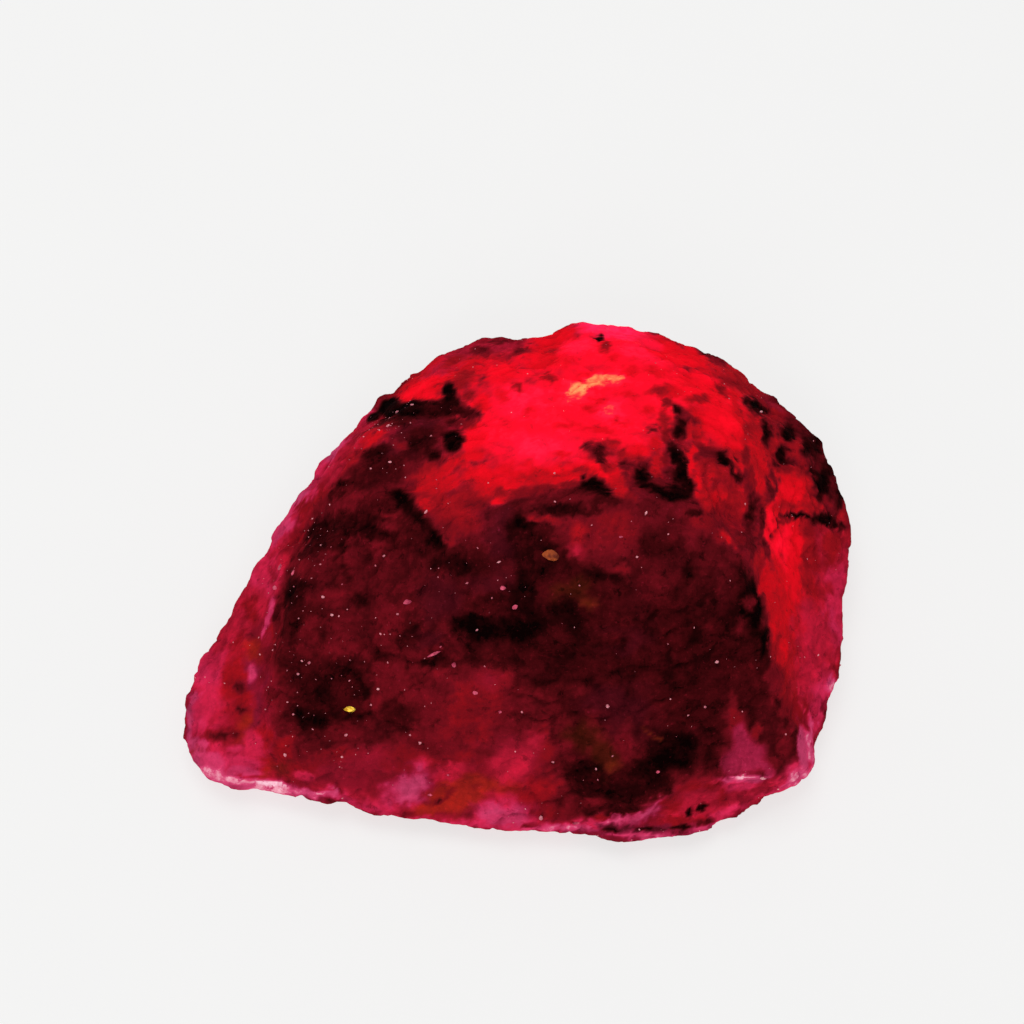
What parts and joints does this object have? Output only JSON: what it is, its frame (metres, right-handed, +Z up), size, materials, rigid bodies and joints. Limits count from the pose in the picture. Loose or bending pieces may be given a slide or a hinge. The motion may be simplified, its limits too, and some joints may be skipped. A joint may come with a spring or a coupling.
{
  "type": "raw ruby crystal",
  "caption": "Rough, unpolished lump of cloudy red ruby with broken, granular faces, dark inclusions and a flat break below that it rests on.",
  "frame": {"origin": "on the surface that the lump rests on, in the middle of its length and depth", "axes": "+Z up from the flat break, +X along the longest side, -Y towards the steep dark front"},
  "size_m": [0.052, 0.0434, 0.0195],
  "materials": {
    "raw_ruby": "rough broken surface, cloudy and faintly translucent, with small glints on its grains"
  },
  "bodies": {
    "root": {"ruby_crystal": "raw_ruby"}
  },
  "joints": []
}
